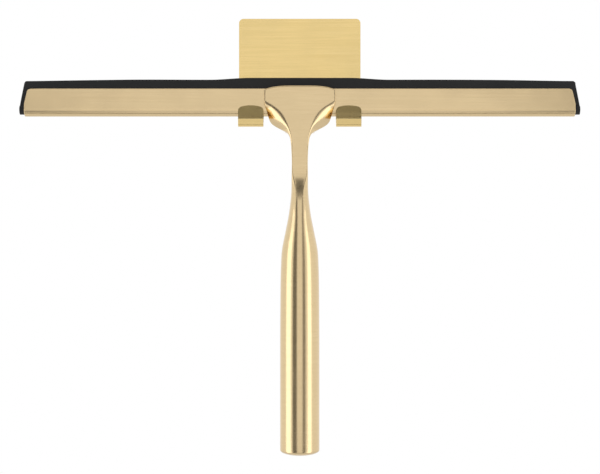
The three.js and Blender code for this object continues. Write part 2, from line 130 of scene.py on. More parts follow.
def settle(thing):
    # The modifiers' result becomes the mesh.
    graph = bpy.context.evaluated_depsgraph_get()
    result = bpy.data.meshes.new_from_object(thing.evaluated_get(graph))
    old = thing.data
    thing.modifiers.clear()
    thing.data = result
    bpy.data.meshes.remove(old)


def turned(profile, segments=48):
    # A closed solid turned about Y; the profile is (radius, y) and starts and ends on the axis.
    bm = bmesh.new()
    rows = []
    for radius, y in profile:
        if radius < 1e-6:
            rows.append([bm.verts.new((0, y * mm, 0))])
            continue
        rows.append([
            bm.verts.new((radius * math.cos(2 * math.pi * i / segments) * mm, y * mm,
                          radius * math.sin(2 * math.pi * i / segments) * mm))
            for i in range(segments)
        ])
    for a, b in zip(rows, rows[1:]):
        for i in range(segments):
            j = (i + 1) % segments
            corners = [a[i % len(a)], a[j % len(a)], b[j % len(b)], b[i % len(b)]]
            unique = []
            for v in corners:
                if v not in unique:
                    unique.append(v)
            bm.faces.new(unique)
    return bm


def cut(thing, cutters):
    for cutter in cutters:
        boolean = thing.modifiers.new("cut", "BOOLEAN")
        boolean.operation = "DIFFERENCE"
        boolean.solver = "EXACT"
        boolean.object = cutter
    settle(thing)
    for cutter in cutters:
        bpy.data.objects.remove(cutter)


# Shader groups.
def addSocket(group, name, direction, kind="NodeSocketFloat", value=None):
    socket = group.interface.new_socket(name=name, in_out=direction, socket_type=kind)
    if value is not None:
        socket.default_value = value
    return socket


def node(tree, kind, **settings):
    made = tree.nodes.new(kind)
    for key, value in settings.items():
        setattr(made, key, value)
    return made


def mathNode(tree, operation, a, b=None, clamp=False):
    made = node(tree, "ShaderNodeMath", operation=operation, use_clamp=clamp)
    for socket, value in zip(made.inputs, (a, b)):
        if value is None:
            continue
        if isinstance(value, (int, float)):
            socket.default_value = value
        else:
            tree.links.new(value, socket)
    return made.outputs[0]


def brushedGrainGroup():
    # Long fine scratches that run round the piece, crossways to Z.
    group = bpy.data.node_groups.new("brushedGrain", "ShaderNodeTree")
    for name, value in (("Line Width", 0.12), ("Line Length", 14.0), ("Coarse Share", 0.35)):
        addSocket(group, name, "INPUT", value=value)
    for name in ("Height", "Tone"):
        addSocket(group, name, "OUTPUT")
    given, out = node(group, "NodeGroupInput"), node(group, "NodeGroupOutput")
    place = node(group, "ShaderNodeTexCoord")
    inMillimetres = node(group, "ShaderNodeVectorMath", operation="SCALE")
    inMillimetres.inputs["Scale"].default_value = 1000
    group.links.new(place.outputs["Object"], inMillimetres.inputs[0])
    across = mathNode(group, "DIVIDE", 1.0, given.outputs["Line Width"])
    along = mathNode(group, "DIVIDE", 1.0, given.outputs["Line Length"])

    def layer(widen, detail):
        stretch = node(group, "ShaderNodeCombineXYZ")
        thick = mathNode(group, "DIVIDE", across, widen)
        group.links.new(along, stretch.inputs["X"])
        group.links.new(along, stretch.inputs["Y"])
        group.links.new(thick, stretch.inputs["Z"])
        scaled = node(group, "ShaderNodeVectorMath", operation="MULTIPLY")
        group.links.new(inMillimetres.outputs[0], scaled.inputs[0])
        group.links.new(stretch.outputs[0], scaled.inputs[1])
        noise = node(group, "ShaderNodeTexNoise")
        noise.inputs["Scale"].default_value = 1
        noise.inputs["Detail"].default_value = detail
        noise.inputs["Roughness"].default_value = 0.6
        group.links.new(scaled.outputs[0], noise.inputs["Vector"])
        return noise.outputs["Fac"]

    fine, coarse = layer(1.0, 3), layer(5.0, 2)
    blend = node(group, "ShaderNodeMix", data_type="FLOAT")
    group.links.new(given.outputs["Coarse Share"], blend.inputs["Factor"])
    group.links.new(fine, blend.inputs["A"])
    group.links.new(coarse, blend.inputs["B"])
    group.links.new(blend.outputs["Result"], out.inputs["Height"])
    group.links.new(coarse, out.inputs["Tone"])
    return group


def paintedEdgeHighlightGroup():
    # Painted highlight: one on sharp outside edges, broken into patches, nought on the flats.
    group = bpy.data.node_groups.new("paintedEdgeHighlight", "ShaderNodeTree")
    for name, value in (("Amount", 0.5), ("Patch Size", 6.0)):
        addSocket(group, name, "INPUT", value=value)
    addSocket(group, "Mask", "OUTPUT")
    given, out = node(group, "NodeGroupInput"), node(group, "NodeGroupOutput")
    shape = node(group, "ShaderNodeNewGeometry")
    edge = node(group, "ShaderNodeMapRange", interpolation_type="SMOOTHSTEP")
    edge.inputs["From Min"].default_value = 0.52
    edge.inputs["From Max"].default_value = 0.62
    group.links.new(shape.outputs["Pointiness"], edge.inputs["Value"])
    place = node(group, "ShaderNodeTexCoord")
    noise = node(group, "ShaderNodeTexNoise")
    noise.inputs["Detail"].default_value = 4
    group.links.new(place.outputs["Object"], noise.inputs["Vector"])
    group.links.new(mathNode(group, "DIVIDE", 1000.0, given.outputs["Patch Size"]), noise.inputs["Scale"])
    patchy = node(group, "ShaderNodeMapRange", interpolation_type="SMOOTHSTEP")
    patchy.inputs["From Min"].default_value = 0.35
    patchy.inputs["From Max"].default_value = 0.6
    group.links.new(noise.outputs["Fac"], patchy.inputs["Value"])
    both = mathNode(group, "MULTIPLY", edge.outputs["Result"], patchy.outputs["Result"])
    group.links.new(mathNode(group, "MULTIPLY", both, given.outputs["Amount"], clamp=True),
                    out.inputs["Mask"])
    return group


def handlingMarksGroup():
    # Faint cloudy patches where skin and water have dulled the finish.
    group = bpy.data.node_groups.new("handlingMarks", "ShaderNodeTree")
    for name, value in (("Patch Size", 18.0), ("Sharpness", 0.5)):
        addSocket(group, name, "INPUT", value=value)
    addSocket(group, "Mask", "OUTPUT")
    given, out = node(group, "NodeGroupInput"), node(group, "NodeGroupOutput")
    place = node(group, "ShaderNodeTexCoord")
    noise = node(group, "ShaderNodeTexNoise")
    noise.inputs["Detail"].default_value = 5
    noise.inputs["Distortion"].default_value = 0.4
    group.links.new(place.outputs["Object"], noise.inputs["Vector"])
    group.links.new(mathNode(group, "DIVIDE", 1000.0, given.outputs["Patch Size"]), noise.inputs["Scale"])
    half = mathNode(group, "MULTIPLY", mathNode(group, "SUBTRACT", 1.0, given.outputs["Sharpness"]), 0.35)
    soft = node(group, "ShaderNodeMapRange", interpolation_type="SMOOTHSTEP")
    group.links.new(noise.outputs["Fac"], soft.inputs["Value"])
    group.links.new(mathNode(group, "SUBTRACT", 0.5, half), soft.inputs["From Min"])
    group.links.new(mathNode(group, "ADD", 0.52, half), soft.inputs["From Max"])
    group.links.new(soft.outputs["Result"], out.inputs["Mask"])
    return group


brushedGrain = brushedGrainGroup()
paintedEdgeHighlight = paintedEdgeHighlightGroup()
handlingMarks = handlingMarksGroup()


def placeGroup(tree, group, **values):
    made = node(tree, "ShaderNodeGroup", node_tree=group)
    for key, value in values.items():
        made.inputs[key.replace("_", " ")].default_value = value
    return made


def colourMix(tree, factor, a, b):
    made = node(tree, "ShaderNodeMix", data_type="RGBA")
    tree.links.new(factor, made.inputs["Factor"])
    for socket, value in ((made.inputs["A"], a), (made.inputs["B"], b)):
        if isinstance(value, tuple):
            socket.default_value = (*value, 1)
        else:
            tree.links.new(value, socket)
    return made.outputs["Result"]


def rangeMix(tree, factor, low, high):
    made = node(tree, "ShaderNodeMapRange")
    made.inputs["To Min"].default_value = low
    made.inputs["To Max"].default_value = high
    tree.links.new(factor, made.inputs["Value"])
    return made.outputs["Result"]


def blankMaterial(name):
    material = bpy.data.materials.new(name)
    material.use_nodes = True
    tree = material.node_tree
    return material, tree, tree.nodes["Principled BSDF"]


def brushedMetal(name, finish):
    material, tree, surface = blankMaterial(name)
    grain = placeGroup(tree, brushedGrain, Line_Width=finish["lineWidth"], Line_Length=finish["lineLength"],
                       Coarse_Share=finish["coarseShare"])
    # Painted highlight: a mask of the sharp edges, in patches.
    marksAndEdgeHighlight = placeGroup(tree, paintedEdgeHighlight, Amount=finish["edgeHighlightAmount"], Patch_Size=7.0)
    marks = placeGroup(tree, handlingMarks, Patch_Size=finish["markSize"], Sharpness=0.45)
    tone = colourMix(tree, rangeMix(tree, grain.outputs["Tone"], -0.6, 1.6), finish["dark"],
                     finish["light"])
    clouded = colourMix(tree, rangeMix(tree, marks.outputs["Mask"], 0.0, finish["marks"]), tone,
                        finish["dull"])
    # Sharp edges take the lighter edge colour as a painted highlight.
    edged = colourMix(tree, marksAndEdgeHighlight.outputs["Mask"], clouded, finish["edge"])
    tree.links.new(edged, surface.inputs["Base Color"])
    rough = mathNode(tree, "ADD", rangeMix(tree, grain.outputs["Height"], finish["rough"] - 0.07,
                                           finish["rough"] + 0.07),
                     rangeMix(tree, marks.outputs["Mask"], 0.0, 0.05))
    tree.links.new(rough, surface.inputs["Roughness"])
    surface.inputs["Metallic"].default_value = 1
    bump = node(tree, "ShaderNodeBump")
    bump.inputs["Strength"].default_value = finish["bump"]
    bump.inputs["Distance"].default_value = 0.02 * mm
    tree.links.new(grain.outputs["Height"], bump.inputs["Height"])
    tree.links.new(bump.outputs["Normal"], surface.inputs["Normal"])
    return material


handleFinish = {
    "light": (0.735, 0.572, 0.336), "dark": (0.69, 0.53, 0.305), "dull": (0.67, 0.515, 0.3),
    # Painted highlight: sharp edges are lightened to the edge colour below, by the amount given on the next
    # line.
    "edge": (0.8, 0.64, 0.4),
    "rough": 0.165, "lineWidth": 0.11, "lineLength": 9.0, "coarseShare": 0.35, "edgeHighlightAmount": 0.5, "marks": 0.3,
    "markSize": 16.0, "bump": 0.07,
}
holderFinish = {
    **handleFinish, "light": (0.765, 0.595, 0.35), "dark": (0.7, 0.535, 0.305), "rough": 0.17,
    "lineWidth": 0.13, "lineLength": 60.0, "coarseShare": 0.5, "markSize": 22.0, "bump": 0.1,
}
bracketFinish = {
    **handleFinish, "light": (0.87, 0.66, 0.3), "dark": (0.78, 0.58, 0.245), "dull": (0.79, 0.61, 0.28),
    # Painted highlight: the edge colour on this line lightens the sheet's sharp edges.
    "edge": (0.88, 0.72, 0.42), "rough": 0.2, "lineWidth": 0.16, "lineLength": 40.0, "coarseShare": 0.45,
    "bump": 0.2,
}
screwFinish = {
    **handleFinish, "light": (0.6, 0.46, 0.27), "dark": (0.5, 0.38, 0.22), "rough": 0.3, "lineWidth": 0.1,
    # Painted highlight: the amount on this line lightens the screw's sharp edges.
    "lineLength": 3.0, "edgeHighlightAmount": 0.8,
}
handleMetal = brushedMetal("brushedGoldHandle", handleFinish)
holderMetal = brushedMetal("brushedGoldStrip", holderFinish)
bracketMetal = brushedMetal("brushedGoldSheet", bracketFinish)
screwMetal = brushedMetal("goldScrew", screwFinish)

# The rubber's second, paler colour serves both the dulled handling marks and a painted highlight on sharp
# edges.
rubberFinish = {"colour": (0.0085, 0.0088, 0.0095), "marksAndEdgeHighlight": (0.02, 0.0195, 0.0185), "rough": 0.52,
                "grainSize": 0.25, "bump": 0.12}


def rubberMaterial(name, finish):
    material, tree, surface = blankMaterial(name)
    place = node(tree, "ShaderNodeTexCoord")
    grain = node(tree, "ShaderNodeTexNoise")
    grain.inputs["Scale"].default_value = 1000 / finish["grainSize"]
    grain.inputs["Detail"].default_value = 3
    tree.links.new(place.outputs["Object"], grain.inputs["Vector"])
    marks = placeGroup(tree, handlingMarks, Patch_Size=12.0, Sharpness=0.3)
    # Painted highlight on the rubber's sharp edges, in patches.
    marksAndEdgeHighlight = placeGroup(tree, paintedEdgeHighlight, Amount=0.8, Patch_Size=5.0)
    clouded = colourMix(tree, rangeMix(tree, marks.outputs["Mask"], 0.0, 0.35), finish["colour"],
                        finish["marksAndEdgeHighlight"])
    # Handling marks first, then the painted edge highlight, both in the paler second colour.
    tree.links.new(colourMix(tree, marksAndEdgeHighlight.outputs["Mask"], clouded, finish["marksAndEdgeHighlight"]),
                   surface.inputs["Base Color"])
    rough = mathNode(tree, "ADD", rangeMix(tree, grain.outputs["Fac"], finish["rough"] - 0.06,
                                           finish["rough"] + 0.06),
                     rangeMix(tree, marks.outputs["Mask"], 0.0, 0.08))
    tree.links.new(rough, surface.inputs["Roughness"])
    surface.inputs["Specular IOR Level"].default_value = 0.3
    bump = node(tree, "ShaderNodeBump")
    bump.inputs["Strength"].default_value = finish["bump"]
    bump.inputs["Distance"].default_value = 0.03 * mm
    tree.links.new(grain.outputs["Fac"], bump.inputs["Height"])
    tree.links.new(bump.outputs["Normal"], surface.inputs["Normal"])
    return material


foamFinish = {"colour": (0.26, 0.27, 0.28), "pore": (0.12, 0.125, 0.13), "poreSize": 0.45, "bump": 0.6}


def foamMaterial(name, finish):
    material, tree, surface = blankMaterial(name)
    place = node(tree, "ShaderNodeTexCoord")
    pores = node(tree, "ShaderNodeTexVoronoi", feature="DISTANCE_TO_EDGE")
    pores.inputs["Scale"].default_value = 1000 / finish["poreSize"]
    tree.links.new(place.outputs["Object"], pores.inputs["Vector"])
    walls = rangeMix(tree, pores.outputs["Distance"], 0.2, 3.0)
    tree.links.new(colourMix(tree, walls, finish["colour"], finish["pore"]), surface.inputs["Base Color"])
    tree.links.new(rangeMix(tree, walls, 0.78, 0.95), surface.inputs["Roughness"])
    bump = node(tree, "ShaderNodeBump", invert=True)
    bump.inputs["Strength"].default_value = finish["bump"]
    bump.inputs["Distance"].default_value = 0.1 * mm
    tree.links.new(walls, bump.inputs["Height"])
    tree.links.new(bump.outputs["Normal"], surface.inputs["Normal"])
    return material


blackRubber = rubberMaterial("blackRubber", rubberFinish)
foamTape = foamMaterial("greyFoamTape", foamFinish)
print("materials ready")


def finishPiece(thing, material, body, slotName, *nodes):
    thing.data.materials.clear()
    thing.data.materials.append(material)
    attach(thing, body)
    if nodes:
        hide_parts(*nodes)


# Blade holder.
holderShape = {"sheet": 0.7, "topHalf": 1.75, "slant": 1.4, "slantFrom": 2.6, "corner": 1.3, "edge": 0.28}
holderTop = holderHigh.z / mm - bladeZ
holderHalf = holderHigh.x / mm


def flangeTangent(grow=0.0):
    radius, topHalf = beadRadius + grow, holderShape["topHalf"] + grow
    reach = math.hypot(topHalf, holderTop)
    return radius, topHalf, math.atan2(holderTop, topHalf) - math.acos(radius / reach)


def holderHalfThickness(z):
    radius, topHalf, angle = flangeTangent()
    tangentZ = radius * math.sin(angle)
    if z <= tangentZ:
        return math.sqrt(max(radius * radius - z * z, 0))
    return mix(radius * math.cos(angle), topHalf, min((z - tangentZ) / (holderTop - tangentZ), 1))


def foldedSide(grow, flangeSteps, beadSteps):
    # From the top of the rear flange, round under the bead, to the top of the front flange.
    radius, topHalf, angle = flangeTangent(grow)
    foot = (radius * math.cos(angle), radius * math.sin(angle))
    side = [(mix(topHalf, foot[0], t), mix(holderTop, foot[1], t)) for t in steps(0, 1, flangeSteps)]
    bead = [(radius * math.cos(a), radius * math.sin(a)) for a in steps(angle, -math.pi - angle, beadSteps)]
    return side + bead[1:-1] + [(-y, z) for y, z in reversed(side)]


def holderEnd(z):
    # Half the strip's length at a height: upright by the bead, then slanted in to a round corner.
    s = holderShape
    length = holderHalf - s["slant"] * max(z - s["slantFrom"], 0) / (holderTop - s["slantFrom"])
    over = z - (holderTop - s["corner"])
    if over > 0:
        length -= s["corner"] - math.sqrt(max(s["corner"] ** 2 - over**2, 0))
    return length


def buildHolder():
    outer, inner = foldedSide(0, 16, 40), foldedSide(-holderShape["sheet"], 16, 40)
    loop = outer + inner[::-1]
    rings = [[(u * holderEnd(z), bladeY + y, bladeZ + z) for y, z in loop] for u in steps(-1, 1, 60)]
    bm = ringSkin(rings, capStart=False, capEnd=False)
    bm.verts.ensure_lookup_table()
    count, half = len(loop), len(outer)
    for first in (0, count * (len(rings) - 1)):
        for i in range(half - 1):
            a, b = i, i + 1
            c, d = count - 1 - b, count - 1 - a
            bm.faces.new([bm.verts[first + k] for k in (a, b, c, d)])
    holder = newObject("bladeHolder", bm, sharpAngle=50)
    addBevel(holder, holderShape["edge"], 2, 50)
    return holder


holder = buildHolder()
finishPiece(holder, holderMetal, "squeegee", "holder_metal", "blade_holder")
print("blade holder built")

# Rubber blade.
rubberShape = {"web": 1.9, "bead": 2.15, "lipEdge": 0.22, "endInset": 2.2, "endFrom": 1.4, "corner": 0.9,
               "crest": 0.8,
               "crestFlat": 22, "crestEnd": 40, "droop": 0.6, "droopFrom": 70, "wave": 0.05}
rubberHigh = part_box("rubber_blade")[1]
rubberHalf = rubberHigh.x / mm
rubberTop = rubberHigh.z / mm - bladeZ - rubberShape["crest"]


def lipHeight(x):
    s = rubberShape
    crest = 1 - smoothStep(s["crestFlat"], s["crestEnd"], abs(x))
    droop = smoothStep(s["droopFrom"], rubberHalf, abs(x))
    wave = s["wave"] * math.sin(x / 9.0) * math.sin(x / 23.0 + 0.6)
    return rubberTop + s["crest"] * crest - s["droop"] * droop + wave * (1 - crest)


def rubberEnd(z):
    s = rubberShape
    length = rubberHalf - s["endInset"] * max(z - s["endFrom"], 0) / (rubberTop - s["endFrom"])
    over = z - (rubberTop - s["corner"])
    if over > 0:
        length -= s["corner"] - math.sqrt(max(s["corner"] ** 2 - min(over, s["corner"]) ** 2, 0))
    return length


def buildRubber():
    s = rubberShape
    half, bead, edge = s["web"] / 2, s["bead"], s["lipEdge"]
    fillet = 0.25
    turn = math.acos((half + fillet) / (bead + fillet))
    centreZ = (bead + fillet) * math.sin(turn)
    right = [(half - edge + edge * math.cos(a), rubberTop - edge + edge * math.sin(a))
             for a in steps(math.pi / 2, 0, 5)]
    right += [(half, z) for z in steps(rubberTop - edge, centreZ, 18)[1:]]
    right += [(half + fillet - fillet * math.cos(a), centreZ - fillet * math.sin(a))
              for a in steps(0, math.pi / 2 - turn, 4)[1:]]
    right += [(bead * math.cos(a), bead * math.sin(a)) for a in steps(turn, -math.pi / 2, 22)[1:-1]]
    loop = right + [(0, -bead)] + [(-y, z) for y, z in reversed(right)]
    rings = []
    for u in steps(-1, 1, 200):
        ring = []
        for y, z in loop:
            x = u * rubberEnd(z)
            lifted = z + (lipHeight(x) - rubberTop) * smoothStep(centreZ + 2, rubberTop - 1, z)
            ring.append((x, bladeY + y, bladeZ + lifted))
        rings.append(ring)
    rubber = newObject("rubberBlade", ringSkin(rings), sharpAngle=50)
    addBevel(rubber, 0.1, 2, 50)
    return rubber


rubber = buildRubber()
finishPiece(rubber, blackRubber, "blade", "blade_rubber", "rubber_blade")
print("rubber blade built")

# Handle.
# Heights and depths are measured from the bead's axis.
handleShape = {
    "halfWidth": 15.8, "topArch": 1.75, "archPower": 4.0, "front": -6.4, "crownRadius": 60,
    "crownFrom": 4, "topEdge": 0.6, "steepensOver": 3.0, "wall": 0.55, "rim": 0.18, "crown": 0.12,
    "shoulder": -11.2, "neckRear": 1.8, "dome": 2.4,
    "outline": [(3.5, 15.8), (0, 14.9), (-3.6, 13.9), (-5.4, 13.2), (-6.6, 12.2), (-7.7, 10.6),
        (-9.1, 8.1), (-10.3, 6.0), (-11.4, 4.9), (-13, 4.3), (-16.5, 3.85), (-22.7, 3.57), (-27, 3.6),
        (-31.5, 3.68), (-36, 3.77), (-40.4, 4.1), (-47.1, 4.96), (-53.7, 6.25), (-62.6, 7.96), (-70, 8.4),
        (-76, 8.56), (-89, 8.68), (-100, 8.75)],
    "faceEdge": [(3.5, 15.8), (1.7, 12.4), (-1.3, 9.1), (-4.6, 6.9), (-7.9, 5.35), (-12.4, 3.9),
        (-16.5, 3.3)],
    "ridgeSpan": [(5, 1.5), (3.7, 1.5), (2.6, 2.2), (0, 2.8), (-3, 2.7), (-5.5, 1.9), (-8, 1.1),
        (-11, 0.6), (-14, 0.3)],
    "ridgeSlope": [(5, 0.8), (3.9, 0.7), (2.6, 0.27), (0, 0.39), (-3, 0.48), (-6, 0.54), (-7.5, 0.72),
        (-9, 0.95)],
    "gentleSpan": [(4.2, 0.5), (2.6, 2.2), (-1.1, 3.0), (-3.3, 2.4), (-5.5, 1.3), (-7, 0.6), (-9, 0.2)],
    "gentleSlope": [(5, 0.9), (3.9, 0.8), (2.6, 0.4), (0, 0.54), (-3, 0.68), (-6, 0.82), (-9, 1.0)],
    "steepSlope": [(5, 1.0), (3.9, 0.9), (2.6, 0.5), (0, 0.66), (-3, 0.8), (-6, 1.0), (-9, 1.15)],
    "squareness": [(-22, 0.08), (-27, 0.1), (-30, 0.2), (-34, 0.5), (-39.8, 0.72), (-44.3, 0.78),
        (-48.7, 0.86), (-55.4, 0.93), (-63, 1)],
    "frontTravel": [(-20, 0), (-27, 0.27), (-30, 0.73), (-33, 1.48), (-38, 2.87), (-41.5, 3.7),
        (-46, 4.35), (-56, 5.1), (-70, 5.59), (-84, 5.75)],
    "rearTravel": [(-24, 0), (-34, 0.35), (-45, 1.5), (-58, 3.0), (-70, 3.55)],
}
handleLow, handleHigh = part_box("handle")
handleTop = handleHigh.z / mm - bladeZ
handleBottom = handleLow.z / mm - bladeZ
faceShares = steps(0, 1, 14)
flankCount = 34


def headFace(z):
    s = handleShape
    above = max(z - s["crownFrom"], 0)
    return s["front"] + s["crownRadius"] - math.sqrt(s["crownRadius"] ** 2 - above**2)


def headRear(z):
    if z > -beadRadius - 0.12:
        return -holderHalfThickness(z) - 0.12
    return mix(-0.06, handleShape["neckRear"],
               smoothStep(handleShape["shoulder"] + 0.35, handleShape["shoulder"] - 0.35, z))


def flankFall(beyondEdge, z):
    # How far the flank has dropped behind the face: over the soft ridge, then gently, then more steeply.
    s = handleShape
    ridgeSlope, gentleSlope, steepSlope = (curveThrough(s[key], z)
                                           for key in ("ridgeSlope", "gentleSlope", "steepSlope"))
    ridge, gentle = curveThrough(s["ridgeSpan"], z), curveThrough(s["gentleSpan"], z)
    a = min(max(beyondEdge + ridge / 2, 0), ridge)
    b = min(max(beyondEdge - ridge / 2, 0), gentle)
    c = max(beyondEdge - ridge / 2 - gentle, 0)
    return (ridgeSlope * a * a / (2 * ridge) + ridgeSlope * b
            + (gentleSlope - ridgeSlope) * b * b / (2 * gentle)
            + gentleSlope * c + (steepSlope - gentleSlope) * c * c / (2 * s["steepensOver"]))


def headHalf(z):
    # Half a section: across the face, over its soft ridge, down the swelling flank and round to the back.
    s = handleShape
    width = curveThrough(s["outline"], z)
    edge = min(curveThrough(s["faceEdge"], z), width)
    front, rear = headFace(z), headRear(z)
    share = min(1, (rear - s["wall"] - front) / flankFall(width - edge, z))
    faceEnd = edge - curveThrough(s["ridgeSpan"], z) * 0.6
    rim = s["rim"]
    points = [(faceEnd * t, front) for t in faceShares]
    for t in steps(0, 1, flankCount)[1:]:
        x = mix(faceEnd, width - rim, t**1.2)
        points.append((x, front + share * flankFall(x - edge, z)))
    start, corner = points[-1], front + share * flankFall(width - edge, z)
    side = min(rim, (rear - corner) * 0.6)
    for t in steps(0, 1, 5)[1:]:
        points.append((mix(mix(start[0], width, t), width, t),
                       mix(mix(start[1], corner, t), mix(corner, corner + side, t), t)))
    for t in (0.35, 0.7, 0.94):
        points.append((width, mix(corner + side, rear, t)))
    for t in reversed(faceShares):
        points.append(((width - 0.15) * t, rear))
    return points


def gripHalf(z, head):
    # The bar of the neck, square with rounded edges, that turns into the round grip.
    s = handleShape
    count = len(head)
    width = max(x for x, y in head)
    frontCount = next(i for i, (x, y) in enumerate(head) if x > width - 1e-6)
    rearMost = s["neckRear"] + curveThrough(s["rearTravel"], z)
    frontMost = s["front"] - curveThrough(s["frontTravel"], z)
    power = curveThrough(s["squareness"], z)
    crown = s["crown"] * smoothStep(-45, -35, z)
    even = smoothStep(-18, -40, z)
    halfWidth = curveThrough(s["outline"], z)
    middle, halfDepth = (frontMost + rearMost) / 2, (rearMost - frontMost) / 2
    domeStart = handleBottom + s["dome"]
    shrink = math.sqrt(max(1 - ((domeStart - z) / s["dome"]) ** 2, 0)) if z < domeStart else 1
    points = []
    for i, (headX, _) in enumerate(head):
        across = math.asin(min(headX / width, 1) ** (1 / power))
        turn = mix(across if i <= frontCount else math.pi - across, math.pi * i / (count - 1), even)
        x = math.sin(turn) ** power * halfWidth * shrink if 0 < i < count - 1 else 0
        y = math.copysign(abs(math.cos(turn)) ** power, math.cos(turn)) * halfDepth * shrink
        points.append((x, middle - y + crown * math.sin(turn) ** 2))
    return points


def handleRing(z, inset=0.0, lift=0.0):
    head = headHalf(z)
    grip = gripHalf(z, head)
    share = smoothStep(-11.6, -18, z)
    half = [(mix(a[0], b[0], share), mix(a[1], b[1], share)) for a, b in zip(head, grip)]
    if inset:
        rear = headRear(z)
        half = [(x * (1 - inset / 15.8), min(y + inset, rear)) for x, y in half]
    loop = half + [(-x, y) for x, y in reversed(half[1:-1])]
    archStart, archTop = 4.2, handleTop
    ring = []
    for x, y in loop:
        up = max(z + lift - archStart, 0) / (archTop - archStart)
        drop = handleShape["topArch"] * abs(x / handleShape["halfWidth"]) ** handleShape["archPower"]
        ring.append((x, bladeY + y, bladeZ + z + lift - drop * up))
    return ring


def handleLevels():
    edge = handleShape["topEdge"]
    levels = steps(handleTop - edge, -17.5, 92)
    levels += steps(-17.5, -62, 62)[1:]
    levels += steps(-62, -90, 24)[1:]
    domeStart = handleBottom + handleShape["dome"]
    levels += steps(-90, domeStart, 16)[1:]
    levels += [domeStart - handleShape["dome"] * math.sin(a) for a in steps(0, math.pi / 2 * 0.985, 16)[1:]]
    return levels


def buildHandle():
    edge = handleShape["topEdge"]
    crown = []
    for a in steps(1, 0, 6)[:-1]:
        angle = a * math.pi / 2
        crown.append(handleRing(handleTop - edge, edge * (1 - math.cos(angle)), edge * math.sin(angle)))
    rings = crown + [handleRing(z) for z in handleLevels()]
    bm = ringSkin(rings, capStart=False)
    bm.verts.ensure_lookup_table()
    # The arched top is closed by strips from the face to the rear, each at one place across.
    top = [bm.verts[i] for i in range(len(rings[0]))]
    count = len(top)
    half = count // 2 + 1
    faces = len(faceShares)
    for i in range(faces - 1):
        a, b = i, i + 1
        c, d = half - 1 - b, half - 1 - a
        bm.faces.new([top[k] for k in (a, b, c, d)])
        mirrored = [(count - k) % count for k in (a, b, c, d)]
        bm.faces.new([top[k] for k in mirrored])
    bm.faces.new([top[k] for k in range(faces - 1, half - faces + 1)])
    bm.faces.new([top[(count - k) % count] for k in range(faces - 1, half - faces + 1)])
    return newObject("handle", bm, sharpAngle=42)


handle = buildHandle()
finishPiece(handle, handleMetal, "squeegee", "handle_metal", "handle")
print("handle built:", len(handle.data.polygons), "faces")

# Clamp plate and its screws.
clampShape = {"shy": 0.7, "edge": 0.7, "arch": 1.2}
clampLow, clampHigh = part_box("clamp_plate")
clampBack = clampHigh.y / mm - bladeY
clampTop = clampHigh.z / mm - bladeZ
clampBottom = clampLow.z / mm - bladeZ
screwLow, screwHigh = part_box("clamp_screw_right")
screwX, screwZ = (screwLow.x + screwHigh.x) / 2 / mm, (screwLow.z + screwHigh.z) / 2 / mm - bladeZ
screwShape = {"shank": 1.2, "head": (screwHigh.x - screwLow.x) / 2 / mm, "headDepth": 1.5, "gap": 0.15,
              "socket": 0.9, "socketDepth": 1.0}


def clampHalf(z, inset=0.0):
    width = curveThrough(handleShape["outline"], z) - clampShape["shy"] - inset
    front = holderHalfThickness(z) + 0.12 if z > -beadRadius - 0.12 else 0.06
    back, edge = clampBack - inset, clampShape["edge"]
    points = [((width - 0.1) * t, front) for t in faceShares]
    points += [(width, y) for y in steps(front + 0.1, back - edge, 4)]
    points += [(width - edge + edge * math.cos(a), back - edge + edge * math.sin(a))
               for a in steps(0, math.pi / 2, 6)[1:]]
    points += [((width - edge) * t, back) for t in reversed(faceShares[:-1])]
    return points


def clampRing(z, inset=0.0, lift=0.0):
    half = clampHalf(z, inset)
    loop = half + [(-x, y) for x, y in reversed(half[1:-1])]
    ring = []
    for x, y in loop:
        up = max(z + lift - 4.2, 0) / (clampTop - 4.2)
        ring.append((x, bladeY + y, bladeZ + z + lift - clampShape["arch"] * abs(x / 15.8) ** 2.4 * up))
    return ring


def buildClamp():
    edge = clampShape["edge"]
    rings = [clampRing(clampTop - edge, edge * (1 - math.cos(a)), edge * math.sin(a))
             for a in steps(math.pi / 2, 0, 5)]
    rings += [clampRing(z) for z in steps(clampTop - edge, clampBottom + edge, 70)[1:]]
    rings += [clampRing(clampBottom + edge, edge * (1 - math.cos(a)), -edge * math.sin(a))
              for a in steps(0, math.pi / 2, 5)[1:]]
    clamp = newObject("clampPlate", ringSkin(rings), sharpAngle=42)
    s = screwShape
    headStart = clampBack - s["gap"] - s["headDepth"]
    profile = [(0, -1), (s["shank"] + s["gap"], -1), (s["shank"] + s["gap"], headStart),
               (s["head"] + s["gap"], clampBack - s["gap"] - 0.2),
               (s["head"] + s["gap"], clampBack + 1), (0, clampBack + 1)]
    cutters = []
    for side in (-1, 1):
        cutter = newObject("seatCutter", turned(profile), smooth=False)
        cutter.location = Vector((side * screwX, bladeY, bladeZ + screwZ)) * mm
        cutters.append(cutter)
    bpy.context.view_layer.update()
    cut(clamp, cutters)
    return clamp


